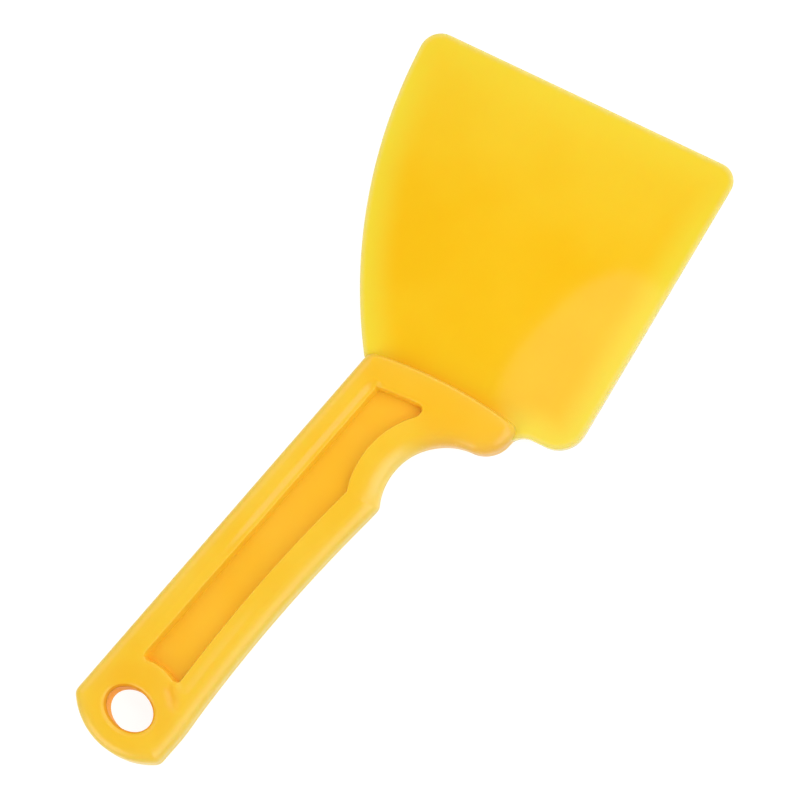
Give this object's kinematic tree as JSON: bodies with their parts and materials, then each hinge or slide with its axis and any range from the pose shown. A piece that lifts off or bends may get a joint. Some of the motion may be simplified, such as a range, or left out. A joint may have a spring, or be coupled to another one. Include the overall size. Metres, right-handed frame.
{
  "type": "squeegee applicator",
  "caption": "Hand squeegee with a thin flexible plastic blade, skewed grip with sunk panels, finger recess behind a rounded nose, and a hanging hole in the butt.",
  "frame": {"origin": "at the middle of the hanging hole, halfway through the handle's thickness", "axes": "+X square to the working edge and pointing from the butt to it, +Y along the working edge towards the straight side of the grip, +Z square to the blade; the grip lies 15 degrees off +X, towards -Y"},
  "size_m": [0.2112, 0.0986, 0.009],
  "materials": {
    "handle_plastic": "moulded yellow plastic, semi-gloss, slightly translucent",
    "blade_plastic": "moulded yellow plastic, semi-gloss, more translucent where it is thin"
  },
  "bodies": {
    "handle": {"handle": "handle_plastic"},
    "blade": {"blade": "blade_plastic"}
  },
  "joints": [
    {"name": "blade_flex", "type": "hinge", "parent": "handle", "child": "blade", "pos_m": [0.136, 0, 0], "axis": [0, 1, 0], "range_deg": [-15, 15], "stiffness_Nm_per_rad": 2.1, "deforming": ["blade"]}
  ]
}
